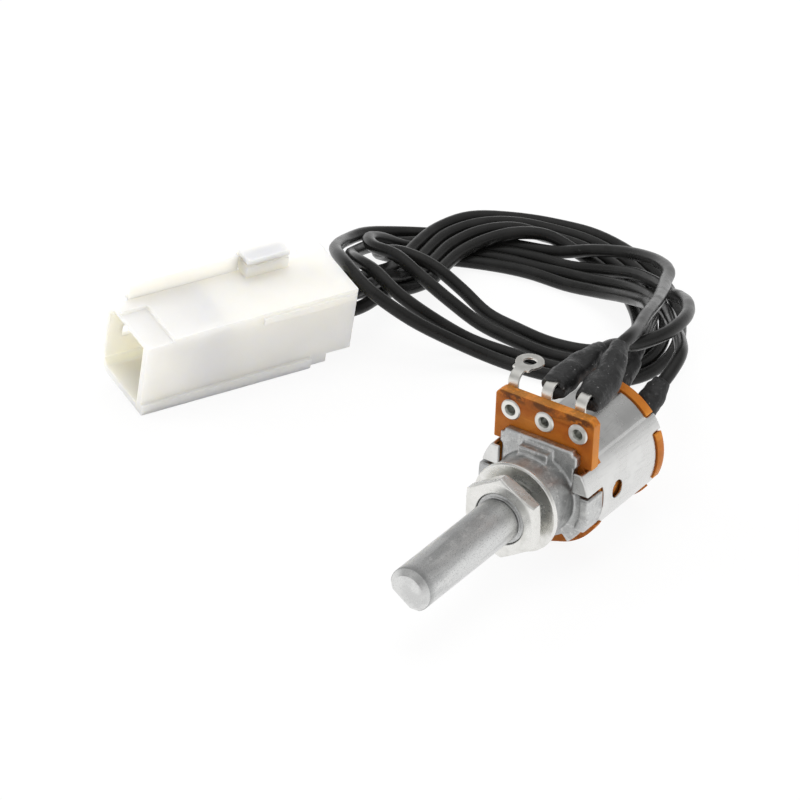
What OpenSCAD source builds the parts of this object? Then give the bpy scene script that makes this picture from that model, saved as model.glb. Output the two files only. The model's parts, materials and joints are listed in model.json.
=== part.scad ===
// Rotary potentiometer with rear switch, solder lugs and a four-wire pigtail
// ending in a nylon connector. Millimetres. X runs along the row of lugs,
// the shaft points to -Y, Z is up and the floor is Z = 0.
// The front face of the die-cast boss is Y = 0.

/* [Shaft] */
// Shaft diameter, set by the knob that it takes
shaft_d = 6; // [4:0.1:8]
// Shaft tip, measured forward from the boss face
shaft_reach = 25; // [15:0.5:40]
// Chamfer on the tip
tip_chamfer = 0.8; // [0.2:0.1:1.5]
// Thickness left across the flat
flat_across = 4.5; // [3:0.1:5.5]
// Length of the flat
flat_length = 10; // [4:0.5:16]
// Direction that the flat faces, from the lug row, at the counter-clockwise end
flat_angle = -124.4; // [-180:1:180]
// Diameter of the tail that carries the rotor and the switch cam
tail_d = 4; // [3:0.1:4.6]
// Diameter of the shaft in the bushing, thinner so that the thread keeps a wall
journal_d = 5.2; // [4.8:0.1:5.6]
// Clearance of the shaft in the bushing
shaft_play = 0.03; // [0.02:0.01:0.05]

/* [Bushing] */
// Thread diameter of the bushing
bushing_d = 7; // [6:0.1:10]
// Length of the bushing in front of the boss
bushing_length = 4.3; // [3:0.1:12]
// Diameter of the boss behind the bushing
boss_d = 11.3; // [9:0.1:14]
// Width across the flats of the nut
nut_flats = 10; // [9:0.1:14]
// Thickness of the nut
nut_thickness = 2; // [1.2:0.1:4]
// Distance from the bushing's end to the nut
nut_inset = 0.1; // [0:0.1:2]
// Diameter of the washer
washer_d = 12.4; // [10:0.1:16]
// Thickness of the washer
washer_thickness = 0.7; // [0.3:0.05:1.2]

/* [Body] */
// Height of the shaft axis above the floor
axis_height = 8.45; // [8.45:0.05:12]
// Diameter of the moulded flange and of the rear disc
body_d = 16.9; // [15:0.1:20]
// Diameter of the steel case
case_d = 16.4; // [14:0.1:19]
// Thickness of the case steel
case_wall = 0.4; // [0.3:0.05:0.6]
// Wall of the moulded housing
housing_wall = 0.8; // [0.5:0.1:1.2]
// Length of the barrel inside the case
barrel_length = 11.9; // [9:0.1:20]
// Thickness of the rear disc
disc_thickness = 1.5; // [1:0.1:2.5]
// Thickness of the resistive wafer
wafer_thickness = 1.5; // [1:0.1:2]
// Width of the wafer head that carries the lugs
wafer_width = 14.6; // [12:0.1:16]
// Top of the wafer head above the shaft axis
wafer_top = 12; // [11:0.1:14]
// Distance between two lugs
lug_pitch = 5; // [4:0.1:5.5]
// Height of the rivets in the wafer above the shaft axis
eyelet_height = 9.56; // [9.4:0.02:10.5]
// Thickness of the lug sheet
lug_sheet = 0.4; // [0.3:0.05:0.5]

/* [Motion] */
// Travel from the switch-off end to the other end
travel = 300; // [260:5:300]

/* [Wires] */
// Diameter of a wire over its insulation
wire_d = 1.8; // [1.2:0.1:2]
// Outer diameter of the shrink sleeves
sleeve_d = 3; // [2.6:0.1:3.4]
// Rings along each wire
wire_rings = 76; // [50:1:90]

/* [Connector] */
// Width of the connector
plug_width = 10.9; // [9:0.1:13]
// Height of the connector
plug_height = 11.4; // [9.5:0.1:14]
// Length of the connector
plug_length = 32; // [26:0.5:40]
// Wall of the connector
plug_wall = 1.1; // [0.8:0.1:1.6]
// Distance between two contacts
contact_pitch = 3.2; // [2.8:0.1:4]

/* [Hidden] */
$fn = 64;
eps = 0.01;
shaft_r = shaft_d / 2;
bushing_r = bushing_d / 2;
boss_r = boss_d / 2;
body_r = body_d / 2;
case_r = case_d / 2;
tail_r = tail_d / 2;
journal_r = journal_d / 2;
press = 0.02;

// Stations along the shaft axis, from the boss face back
plate_y = 4.4;
wafer_y = 5.55;
flange_y = wafer_y + wafer_thickness;
barrel_y = flange_y + 1.25;
disc_y = barrel_y + barrel_length;
disc_back_y = disc_y + disc_thickness;
partition_y = flange_y + 3.75;
partition_back_y = partition_y + 1.2;
tail_end_y = disc_y - 2;
lug_back_y = disc_back_y + 3.3;

// Radii of the nested shells
case_in_r = case_r - case_wall;
barrel_r = case_in_r - 0.45;
cavity_r = barrel_r - housing_wall;
notch_r = case_in_r - 0.06;
wafer_disc_r = notch_r;
head_low = 4.9;
wing_low = -3.6;
wing_mid = 1.9;
wing_high = 4.7;
notch_side = 0.1;
facet_side_angle = 56.8;
facet_drop = [0.4, 0.31];
crimp_angles = [32, 148, 212, 328];
crimp_half = 8;
crimp_reach = 1.2;
hole_r = 1.2;
hole_y = 10.9;

// Plate
ring_r = 4.3;
ring_thickness = 0.6;
ring_groove_r = (journal_r + tail_r) / 2;
pocket_r = ring_r + 0.1;
pocket_y = 4.5;
leg_r = case_r + 0.1;
leg_low = -3.2;
leg_high = 1.6;
leg_front_y = 3.7;
leg_back_y = 7.2;
plate_half = 5.67;
plate_top = 7.4;
nib_half = 2.2;
nib_y = 2.95;

// Rotor and switch
rotor_r = 5.2;
rotor_y = flange_y + 1.15;
rotor_back_y = partition_y - 0.6;
arm_r = cavity_r - 0.3;
arm_half = 10;
stop_half = 15;
stop_angle = -90;
arm_angle = stop_angle - 360 + travel + stop_half * 2;
track_outer_r = 4.2;
track_inner_r = 3.3;
cam_r = 3.4;
lobe_r = 4.5;
lobe_angle = 90;
lobe_half = 14;
cam_y = partition_back_y + 1.6;
cam_length = 3.2;
leaf = 0.3;
blade_height = lobe_r + 0.15;

// Lugs
lug_offset = -0.85;
eyelet_r = 0.8;
eyelet_bore = 0.6;
eyelet_flange_r = 1.42;
eyelet_rim = 0.2;
lug_pad_low = 8.6;
lug_top = 13.8;
lug_bend = 1.1;
lug_width = 1.5;
stem_top = lug_top - lug_bend - lug_sheet;
tail_reach = 5;
eye_r = 1.85;
eye_hole_r = 0.9;
eye_y = 11;
rear_lug_a = [-0.2, case_in_r * 0.8013];
rear_lug_b = [case_in_r * 0.5769, case_in_r * 0.5];
rear_rivet_drop = 2.7;
sleeve_r = sleeve_d / 2;
sleeve_bore = wire_d / 2 + 0.12;

// Connector
plug_at = [-62.5, 2.2, 6.75];
plug_turn = -25;
plug_roll = 10;
bore_r = wire_d / 2 + 0.25;
contact_y = plug_length - 19;
contact_length = 10;
contact_w = 2;

// Wire routes, terminal end first, chosen point by point
route_1 = [
    [-0.8, 13.2, 21.8], [-0.6, 16.4, 21.8], [-0.5, 19.6, 21.6], [-0.4, 22.6, 21],
    [0.3, 26, 19.6], [2, 31.5, 19.4], [1, 38, 18.4], [-2.5, 44.5, 16], [-7.2, 50.8, 12.4],
    [-11.6, 56.2, 8.8], [-16.5, 60.7, 6.6], [-22, 64, 4.6], [-27.5, 65.4, 2.6],
    [-33, 65.4, 1.2], [-39, 64.8, 1], [-45.5, 62.8, 1], [-51.4, 60.2, 1], [-54.8, 57, 1.2],
    [-56.8, 52.4, 2.2], [-56.2, 47.2, 3.8], [-53.6, 42.4, 6.5], [-49.8, 38, 9.1],
    [-45.5, 35.8, 9.9], [-41, 35, 8.2], [-36.5, 37, 5], [-32.5, 39.8, 2], [-27, 41.4, 1],
    [-20.6, 42, 1], [-15.6, 44.2, 1], [-12.4, 48, 1], [-11.6, 52, 1], [-12.9, 57, 1],
    [-16.3, 62.8, 1], [-21.6, 68, 1], [-27.9, 71.7, 1], [-34.7, 73.3, 1], [-40.6, 72.4, 1.2],
    [-44.8, 69.4, 2.2], [-48, 65.2, 2.8], [-49.6, 60, 3], [-49.3, 55, 3], [-48.4, 50, 3.1],
    [-48.1, 45.6, 3.3], [-48.3, 41.3, 4], [-48.4, 36.9, 5.1], [-50.2, 32.9, 5.5],
    [-52.3, 28.5, 5.5], [-54.5, 23.8, 5.5]];
route_2 = [
    [4, 13.2, 22.1], [3.3, 16.2, 22.9], [2.4, 19.2, 23.5], [2.1, 22, 23.4], [0.9, 26, 22.2],
    [-1.5, 32, 20.4], [-4.5, 39.5, 17.6], [-8, 47, 14.4], [-11.5, 54, 11.7], [-14.5, 60, 9.6],
    [-19, 64.5, 7.5], [-25, 67.5, 5.2], [-31, 68.2, 3.2], [-36.5, 67.4, 1.4], [-42, 66.2, 1],
    [-48, 64.2, 1], [-52.8, 62, 1], [-56.6, 58.4, 1.6], [-58.6, 53.6, 3], [-58.4, 48.4, 4.4],
    [-56.5, 43.4, 6.5], [-53.5, 38.5, 8.9], [-48.4, 33.6, 10.7], [-43, 31, 10],
    [-37.5, 32.6, 6.8], [-32.3, 36, 3.5], [-26.6, 38.8, 1.2], [-20, 39.9, 1], [-14.2, 42.2, 1],
    [-10.4, 46.6, 1], [-9.6, 52, 1], [-11, 57.8, 1], [-14.8, 64, 1], [-20.4, 69.6, 1],
    [-27.2, 73.4, 1], [-34.6, 75.2, 1], [-41, 74.3, 1], [-46, 71, 1.8], [-49.8, 66.2, 2.8],
    [-51.5, 60.6, 3], [-51.2, 55, 3.2], [-50.3, 50, 3.4], [-49.9, 46.4, 3.9],
    [-49.3, 41.9, 5.5], [-48.7, 37.5, 7], [-49.3, 33.5, 8.5], [-51.5, 28.8, 8.6],
    [-54, 23.6, 8.6]];
route_3 = [
    [-0.4, 25.7, 16], [-1.2, 30, 17.1], [-2.6, 34, 16.6], [-5, 39, 14.6], [-8, 45, 12],
    [-12, 51, 9.4], [-16, 55.4, 6.6], [-20.6, 58.6, 4.2], [-25.5, 60.6, 2.2], [-31, 61.3, 1],
    [-37, 61, 1], [-42.6, 59.5, 1], [-48.2, 57, 1], [-52, 54.3, 1], [-54, 50.8, 2.6],
    [-52.6, 48, 4.8], [-48.6, 47.4, 6.3], [-44, 47.9, 5.6], [-39.5, 48.2, 3.4],
    [-35, 47.8, 1.4], [-30, 47.4, 1], [-24.5, 47, 1], [-19.6, 48.2, 1], [-16.3, 51, 1],
    [-15.9, 54.8, 1], [-18.6, 59.6, 1], [-23.6, 64.5, 1], [-29.3, 67.8, 1], [-34.6, 69.5, 1.2],
    [-39, 68.8, 2.5], [-42.4, 65.9, 3], [-44.6, 61.6, 3], [-45.5, 57, 2.9], [-45.2, 52.6, 2.9],
    [-44.5, 48.4, 3.1], [-45.1, 44.6, 3.4], [-46.2, 41.1, 4.1], [-46.1, 37.3, 4.8],
    [-46.5, 33.4, 4.9], [-48.9, 28.2, 4.9], [-51.6, 22.5, 4.9]];
route_4 = [
    [4.6, 24.8, 14.6], [4.9, 28, 16.2], [4.1, 31.8, 16.8], [1.6, 36, 15.8], [-1.6, 40.4, 14.1],
    [-4.9, 45, 12.1], [-8.6, 50, 10], [-12.6, 54.6, 7.6], [-17.4, 58.9, 5.5],
    [-22.4, 61.8, 3.6], [-28.5, 63.2, 1.8], [-35, 63.1, 1], [-41, 62, 1], [-46.6, 60.4, 1],
    [-50.4, 58.4, 1], [-53.4, 55.6, 1.8], [-55, 52.2, 4], [-54.8, 48.6, 5.8], [-52, 45.4, 7],
    [-47.6, 44.3, 7.6], [-43, 43.6, 6.2], [-38.5, 43.8, 4], [-34, 44.4, 1.8], [-28.8, 44.6, 1],
    [-22.5, 44.4, 1], [-17.4, 46.2, 1], [-14.2, 49.2, 1], [-13.5, 52.6, 1], [-14.6, 56.6, 1],
    [-17.9, 61.6, 1], [-22.8, 66.4, 1], [-28.6, 69.8, 1], [-34.8, 71.3, 1], [-40.2, 70.4, 1.3],
    [-43.6, 67.6, 2.6], [-46.4, 63.4, 3], [-47.6, 58, 3], [-47.1, 53, 3], [-46.4, 48.8, 3.4],
    [-46.4, 44.6, 4.7], [-46.8, 40.9, 6.1], [-46.1, 36.9, 7.4], [-46.4, 32.3, 8],
    [-48.7, 27.3, 8], [-51.1, 22.3, 8]];

// The terminal ends follow the rear lugs when the case changes
shift_a = [0, 0, rear_lug_a[1] - 6.25];
shift_b = [rear_lug_b[0] - 4.5, 0, rear_lug_b[1] - 3.9];

// Sleeve routes, lug end first
sleeve_middle_route = [[-0.85, 9.4, 21.75], [-0.8, 13.2, 21.8], [-0.6, 16.4, 21.8], [-0.5, 19.6, 21.6]];
sleeve_right_route = [[4.15, 9.4, 21.75], [4, 13.2, 22.1], [3.3, 16.2, 22.9], [2.4, 19.2, 23.5]];
sleeve_a_route = [[-0.2, 22.9, 14.95], [-0.3, 25.4, 15.85], [-0.8, 27.8, 16.6], [-1.2, 30, 17.1]];
sleeve_b_route = [[4.5, 22.9, 13], [4.6, 24.8, 14.6], [4.75, 26.4, 15.6]];

// A profile drawn across the shaft axis, from y0 back to y1
module slab(y0, y1) {
    translate([0, y1, axis_height]) rotate([90, 0, 0])
        linear_extrude(height = y1 - y0) children();
}

// A profile of radius and station, turned round the shaft axis
module lathe() {
    translate([0, 0, axis_height]) rotate([-90, 0, 0]) rotate_extrude() children();
}

module annulus(outer, inner) {
    difference() { circle(outer); circle(inner); }
}

// The part of a profile between two heights on both sides
module band(low, high) {
    intersection() {
        children();
        translate([-20, low]) square([40, high - low]);
    }
}

// A wedge of a circle about one direction
module wedge(r, angle, half) {
    polygon(concat([[0, 0]],
        [for (i = [0 : 6]) r * [cos(angle - half + half * i / 3), sin(angle - half + half * i / 3)]]));
}

// Smooth path through the chosen points
function unit(v) = v / norm(v);
function blend_points(a, b, c, d, t) = 0.5 * (2 * b + (c - a) * t
    + (2 * a - 5 * b + 4 * c - d) * t * t + (3 * b - a - 3 * c + d) * t * t * t);
function before(route, i) = i > 0 ? route[i - 1] : 2 * route[0] - route[1];
function after(route, i) = i < len(route) ? route[i] : 2 * route[i - 1] - route[i - 2];
function along(route, u) = let (i = min(floor(u), len(route) - 2))
    blend_points(before(route, i), route[i], route[i + 1], after(route, i + 2), u - i);
function path(route, rings) = [for (k = [0 : rings - 1]) along(route, k * (len(route) - 1) / (rings - 1))];
function follow(route, shift) = [for (i = [0 : len(route) - 1]) route[i] + shift * max(0, 1 - i / 6)];
function heading(points, i) = unit(points[min(i + 1, len(points) - 1)] - points[max(i - 1, 0)]);
function ring(p, t, r, sides) = let (s = unit(cross(t, [0, 0, 1])), u = cross(s, t))
    [for (j = [0 : sides - 1]) p + r * (cos(360 * j / sides) * s + sin(360 * j / sides) * u)];

// Side of a tube between two rings, as two triangles
function side_faces(a, b, j, sides) = let (n = (j + 1) % sides)
    [[a + j, b + j, b + n], [a + j, b + n, a + n]];

module tube(route, r, rings, sides = 8) {
    points = path(route, rings);
    last = (rings - 1) * sides;
    polyhedron(
        points = [for (i = [0 : rings - 1]) each ring(points[i], heading(points, i), r, sides)],
        faces = concat(
            [[for (j = [0 : sides - 1]) j]],
            [for (i = [0 : rings - 2], j = [0 : sides - 1])
                each side_faces(i * sides, (i + 1) * sides, j, sides)],
            [[for (j = [sides - 1 : -1 : 0]) last + j]]));
}

// The same with a bore: the inner rings follow the outer ones in the point list
module hollow_tube(route, r, bore, rings, sides = 10) {
    points = path(route, rings);
    inner = rings * sides;
    last = (rings - 1) * sides;
    polyhedron(
        points = concat(
            [for (i = [0 : rings - 1]) each ring(points[i], heading(points, i), r, sides)],
            [for (i = [0 : rings - 1]) each ring(points[i], heading(points, i), bore, sides)]),
        faces = concat(
            [for (i = [0 : rings - 2], j = [0 : sides - 1])
                each side_faces(i * sides, (i + 1) * sides, j, sides)],
            [for (i = [0 : rings - 2], j = [0 : sides - 1])
                each side_faces(inner + (i + 1) * sides, inner + i * sides, j, sides)],
            [for (j = [0 : sides - 1]) each side_faces(inner, 0, j, sides)],
            [for (j = [0 : sides - 1]) each side_faces(last, inner + last, j, sides)]));
}

module shaft() {
    flat_d = flat_across - shaft_r;
    tip = -shaft_reach;
    groove_y = pocket_y + 0.15;
    journal_y = -bushing_length - 0.2;
    color("silver") difference() {
        lathe() polygon([
            [0, tip], [shaft_r - tip_chamfer, tip], [shaft_r, tip + tip_chamfer],
            [shaft_r, journal_y], [journal_r, journal_y],
            [journal_r, groove_y], [ring_groove_r, groove_y],
            [ring_groove_r, groove_y + ring_thickness], [journal_r, groove_y + ring_thickness],
            [journal_r, wafer_y - 0.1], [tail_r, wafer_y - 0.1],
            [tail_r, tail_end_y - 0.3], [tail_r - 0.3, tail_end_y], [0, tail_end_y]]);
        slab(tip - 1, tip + flat_length) rotate(flat_angle)
            translate([flat_d, -shaft_d]) square(shaft_d * 2);
    }
}

module retaining_ring() {
    groove_y = pocket_y + 0.15;
    color("gray") slab(groove_y + 0.05, groove_y + ring_thickness - 0.05) difference() {
        circle(ring_r);
        circle(ring_groove_r);
        rotate(60) translate([0, -ring_groove_r * 0.8]) square([ring_r * 2, ring_groove_r * 1.6]);
    }
}

module plate_outline() {
    difference() {
        union() {
            circle(6.45);
            translate([-plate_half, 0]) square([plate_half * 2, plate_top - 0.6]);
            translate([-plate_half + 0.6, 0]) square([plate_half * 2 - 1.2, plate_top]);
            band(leg_low, leg_high) circle(leg_r);
            for (a = [-38, -142]) wedge(7.7, a, 12);
        }
        for (s = [-1, 1]) translate([s * 7.4, 3.4]) square([4.1, 3.6], center = true);
    }
}

module front_plate() {
    color("lightgray") difference() {
        union() {
            lathe() polygon([
                [0, -bushing_length], [bushing_r - 0.35, -bushing_length],
                [bushing_r, -bushing_length + 0.35], [bushing_r, 0], [boss_r - 0.25, 0],
                [boss_r, 0.25], [boss_r, plate_y + 0.5], [0, plate_y + 0.5]]);
            slab(plate_y, wafer_y) plate_outline();
            slab(nib_y, plate_y + eps) translate([-nib_half, 3]) square([nib_half * 2, 3.57]);
            slab(leg_front_y, leg_back_y) band(leg_low, leg_high) annulus(leg_r, notch_r + 0.05);
            slab(leg_front_y, plate_y + eps) band(leg_low, leg_high) annulus(leg_r, boss_r + 1.2);
        }
        slab(-bushing_length - 1, wafer_y + 1) circle(journal_r + shaft_play);
        slab(pocket_y, wafer_y + 1) circle(pocket_r);
    }
}

module hex_nut() {
    corner_r = nut_flats / 2 / cos(30);
    y0 = -bushing_length + nut_inset;
    y1 = y0 + nut_thickness;
    ease = 0.35;
    color("gainsboro") difference() {
        intersection() {
            slab(y0 - 1, y1 + 1) rotate(92.6) circle(corner_r, $fn = 6);
            lathe() polygon([
                [0, y0], [nut_flats / 2 - 0.05, y0], [corner_r + 0.15, y0 + ease],
                [corner_r + 0.15, y1 - ease], [nut_flats / 2 - 0.05, y1], [0, y1]]);
        }
        slab(y0 - 1, y1 + 1) circle(bushing_r + 0.05);
    }
}

module washer() {
    sag = 0.08;
    color("gainsboro") translate([0, 0, -sag]) lathe() polygon([
        [bushing_r + 0.1, 0], [bushing_r + 0.1, -washer_thickness],
        [washer_d / 2 - 0.2, -washer_thickness], [washer_d / 2, -washer_thickness + 0.2],
        [washer_d / 2, -0.15], [washer_d / 2 - 0.15, 0]]);
}

module wafer_head() {
    clip = 0.6;
    half = wafer_width / 2;
    polygon([[-half, head_low], [half, head_low], [half, wafer_top - clip], [half - clip, wafer_top],
        [-half + clip, wafer_top], [-half, wafer_top - clip]]);
}

module front_wafer() {
    color("chocolate") slab(wafer_y, flange_y) difference() {
        union() {
            circle(wafer_disc_r);
            wafer_head();
        }
        circle(tail_r + 0.6);
        for (s = [-1, 0, 1]) translate([s * lug_pitch, eyelet_height]) circle(eyelet_r);
        for (s = [-1, 1]) translate([s * (notch_r + 2), 0]) square([4.6, 9.8], center = true);
    }
}

module eyelet(x) {
    back = flange_y + lug_sheet;
    front = wafer_y - eyelet_rim;
    color("white") translate([x, 0, eyelet_height]) lathe() polygon([
        [eyelet_bore + 0.2, front], [eyelet_flange_r - 0.15, front],
        [eyelet_flange_r, wafer_y - 0.05], [eyelet_flange_r, wafer_y],
        [eyelet_r, wafer_y], [eyelet_r, back], [eyelet_r + 0.25, back],
        [eyelet_r + 0.25, back + 0.2], [eyelet_bore, back + 0.2], [eyelet_bore, front + 0.3]]);
}

module eyelet_left() { eyelet(-lug_pitch); }
module eyelet_middle() { eyelet(0); }
module eyelet_right() { eyelet(lug_pitch); }

// Upright strap of a lug behind the wafer, with its rivet pad
module lug_stem(x, width, top) {
    slab(flange_y, flange_y + lug_sheet) difference() {
        union() {
            translate([x - 1.5, lug_pad_low]) square([3, 2.3]);
            translate([x + lug_offset - width / 2, lug_pad_low]) square([width, top - lug_pad_low]);
        }
        translate([x, eyelet_height]) circle(eyelet_r);
    }
}

// Quarter bend that takes a strap from upright to level
module lug_bend_back(x, width, top) {
    translate([x + lug_offset + width / 2, flange_y + lug_bend + lug_sheet, axis_height + top])
        rotate([0, -90, 0]) linear_extrude(height = width) intersection() {
            difference() { circle(lug_bend + lug_sheet); circle(lug_bend); }
            translate([0, -5]) square(5);
        }
}

module lug_left() {
    x = -lug_pitch + lug_offset;
    color("white") union() {
        lug_stem(-lug_pitch, lug_width, stem_top);
        lug_bend_back(-lug_pitch, lug_width, stem_top);
        translate([0, 0, axis_height + stem_top + lug_bend])
            linear_extrude(height = lug_sheet) difference() {
                union() {
                    translate([x - lug_width / 2, flange_y + lug_bend + lug_sheet])
                        square([lug_width, eye_y - flange_y - lug_bend - eye_hole_r - 0.5]);
                    translate([x, eye_y]) circle(eye_r);
                    translate([x - 1.25, eye_y - eye_r - 0.35]) square([2.5, 0.9]);
                }
                translate([x, eye_y]) circle(eye_hole_r);
            }
    }
}

module sleeved_lug(x) {
    color("white") union() {
        lug_stem(x, lug_width, stem_top);
        lug_bend_back(x, lug_width, stem_top);
        translate([x + lug_offset - lug_width / 2, flange_y + lug_bend + lug_sheet,
            axis_height + stem_top + lug_bend])
            cube([lug_width, tail_reach - lug_bend, lug_sheet]);
    }
}

module lug_middle() { sleeved_lug(0); }
module lug_right() { sleeved_lug(lug_pitch); }

module collector_ring() {
    color("silver") slab(flange_y, flange_y + 0.2) annulus(track_outer_r, track_inner_r);
}

module rotor() {
    color("saddlebrown") slab(rotor_y, rotor_back_y) difference() {
        union() {
            circle(rotor_r);
            wedge(arm_r, arm_angle, arm_half);
        }
        circle(tail_r + press);
    }
}

module wiper() {
    spring = 0.25;
    finger_y = flange_y + 0.3;
    color("gold") union() {
        slab(rotor_y - spring, rotor_y) annulus(track_outer_r + 0.4, tail_r + 0.5);
        for (a = [arm_angle + 60, arm_angle - 60]) slab(finger_y, rotor_y) rotate(a)
            translate([track_inner_r + 0.3, -0.5]) square([0.3, 1]);
    }
}

module case_outline(inset) {
    intersection() {
        circle(case_r - inset);
        rotate(90) translate([-body_d, -body_d])
            square([body_d + case_r - facet_drop[0] - inset, body_d * 2]);
        for (a = [facet_side_angle, 180 - facet_side_angle]) rotate(a)
            translate([-body_d, -body_d]) square([body_d + case_r - facet_drop[1] - inset, body_d * 2]);
    }
}

module case_ring() {
    difference() { case_outline(0); case_outline(case_wall); }
}

module case() {
    fold_reach = 5.5;
    color("silver") difference() {
        union() {
            slab(barrel_y, disc_y) case_ring();
            slab(leg_back_y + 0.4, barrel_y) band(wing_low, wing_mid) case_ring();
            slab(plate_y - case_wall, barrel_y) band(wing_mid, wing_high) case_ring();
            slab(plate_y - case_wall, plate_y) band(wing_mid, wing_high) difference() {
                circle(case_r);
                square([fold_reach * 2, 20], center = true);
            }
            for (a = crimp_angles) {
                slab(disc_y, disc_back_y + case_wall) intersection() {
                    annulus(case_r, case_in_r);
                    wedge(body_r + 1, a, crimp_half);
                }
                slab(disc_back_y, disc_back_y + case_wall) intersection() {
                    annulus(case_r, case_r - crimp_reach);
                    wedge(body_r + 1, a, crimp_half);
                }
            }
        }
        translate([0, hole_y, axis_height]) rotate([0, 90, 0]) cylinder(r = hole_r, h = body_d);
    }
}

module switch_housing() {
    window = 1.6;
    color("peru") difference() {
        union() {
            slab(flange_y, barrel_y) difference() {
                band(-20, lug_pad_low - 0.1) circle(body_r);
                band(wing_low - notch_side, wing_high + notch_side) annulus(body_r + 1, notch_r);
            }
            slab(barrel_y, disc_y) circle(barrel_r);
        }
        difference() {
            slab(flange_y - 1, partition_y) circle(cavity_r);
            slab(rotor_y, partition_y + 1) intersection() {
                annulus(cavity_r + 1, rotor_r + 0.3);
                wedge(body_r, stop_angle, stop_half);
            }
        }
        slab(partition_back_y, disc_y + 1) circle(cavity_r);
        slab(partition_y - 1, partition_back_y + 1) circle(tail_r + 0.1);
        translate([0, partition_back_y + window + 0.8, axis_height]) rotate([0, 90, 0])
            cylinder(r = window, h = body_d);
    }
}

module switch_cam() {
    color("ivory") slab(cam_y, cam_y + cam_length) difference() {
        union() {
            circle(cam_r);
            wedge(lobe_r, lobe_angle, lobe_half);
        }
        circle(tail_r + press);
    }
}

module switch_blade() {
    x = rear_lug_a[0];
    low = rear_lug_a[1] - rear_rivet_drop;
    color("gold") union() {
        translate([x - 0.9, cam_y + 0.4, axis_height + blade_height])
            cube([1.8, disc_y - cam_y - 0.4, leaf]);
        slab(disc_y - leaf, disc_y) difference() {
            translate([x - 0.9, low - 1]) square([1.8, 2.6]);
            translate([x, low]) circle(0.6);
        }
    }
}

// Fixed contact: its arm lies just under the blade, behind the cam
module switch_contact() {
    x = rear_lug_b[0];
    low = rear_lug_b[1] - rear_rivet_drop;
    arm_y = cam_y + cam_length + 0.6;
    arm_top = blade_height - 0.15;
    inner = x - 2.1;
    color("gold") union() {
        slab(disc_y - leaf, disc_y) difference() {
            union() {
                translate([inner, low - 0.9]) square([2.8, 1.6]);
                translate([inner, low - 0.9]) square([1, arm_top - low + 0.9]);
            }
            translate([x, low]) circle(0.6);
        }
        translate([inner, arm_y, axis_height + arm_top - leaf]) cube([1, disc_y - arm_y, leaf]);
        translate([-0.9, arm_y, axis_height + arm_top - leaf]) cube([inner + 1.9, 1.2, leaf]);
    }
}

module rear_disc() {
    color("chocolate") slab(disc_y, disc_back_y) difference() {
        circle(body_r);
        for (a = crimp_angles) intersection() {
            annulus(body_r + 1, case_in_r - 0.05);
            wedge(body_r + 2, a, crimp_half + 1);
        }
        for (p = [rear_lug_a, rear_lug_b]) translate([p[0], p[1] - rear_rivet_drop]) circle(0.6);
    }
}

// Flat pad on the rear disc, then a tail bent back along the given direction
module rear_lug(at, back_y, rise) {
    width = 1.4;
    run = back_y - disc_back_y;
    color("white") difference() {
        union() {
            slab(disc_back_y, disc_back_y + lug_sheet)
                translate([at[0] - width / 2, at[1] - rear_rivet_drop - 1])
                    square([width, rear_rivet_drop + 1 + 0.3]);
            translate([at[0] + width / 2, disc_back_y, axis_height + at[1]]) rotate([0, -90, 0])
                linear_extrude(height = width)
                    polygon([[-0.2, 0], [rise - 0.2, run], [rise + 0.2, run], [0.3, 0]]);
        }
        slab(disc_back_y - 1, disc_back_y + 1)
            translate([at[0], at[1] - rear_rivet_drop]) circle(0.6);
    }
}

module rear_lug_a() { rear_lug(rear_lug_a, lug_back_y, 1.1); }
module rear_lug_b() { rear_lug(rear_lug_b, lug_back_y - 0.7, 1.9); }

module rear_rivet(at) {
    back = disc_back_y + lug_sheet;
    front = disc_y - 0.3;
    color("silver") translate([at[0], 0, at[1] - rear_rivet_drop]) lathe() polygon([
        [0, front - 0.3], [0.9, front - 0.3], [0.9, front], [0.6, front], [0.6, back],
        [0.95, back], [0.8, back + 0.4], [0, back + 0.4]]);
}

module rear_rivet_a() { rear_rivet(rear_lug_a); }
module rear_rivet_b() { rear_rivet(rear_lug_b); }

module sleeve(route, rings) {
    color("dimgray") hollow_tube(route, sleeve_r, sleeve_bore, rings);
}

module sleeve_middle() { sleeve(sleeve_middle_route, 6); }
module sleeve_right() { sleeve(sleeve_right_route, 6); }
module sleeve_rear_a() { sleeve(follow(sleeve_a_route, shift_a), 5); }
module sleeve_rear_b() { sleeve(follow(sleeve_b_route, shift_b), 4); }

module wire(route) { color("black") tube(route, wire_d / 2, wire_rings); }
module wire_1() { wire(route_1); }
module wire_2() { wire(route_2); }
module wire_3() { wire(follow(route_3, shift_a)); }
module wire_4() { wire(follow(route_4, shift_b)); }

// The connector is drawn along its own axis, mouth first, then laid down
module lay_plug() {
    translate(plug_at) rotate([0, 0, plug_turn]) rotate([0, plug_roll, 0]) children();
}

module plug_block(x0, x1, y0, y1, z0, z1) {
    translate([x0, y0, z0]) cube([x1 - x0, y1 - y0, z1 - z0]);
}

module plug_section(inset) {
    half_w = plug_width / 2 - inset;
    half_h = plug_height / 2 - inset;
    clip = 1.5 - inset * 0.5;
    polygon([[-half_w + clip, half_h], [half_w, half_h], [half_w, -half_h],
        [-half_w + clip, -half_h], [-half_w, -half_h + clip], [-half_w, half_h - clip]]);
}

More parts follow.
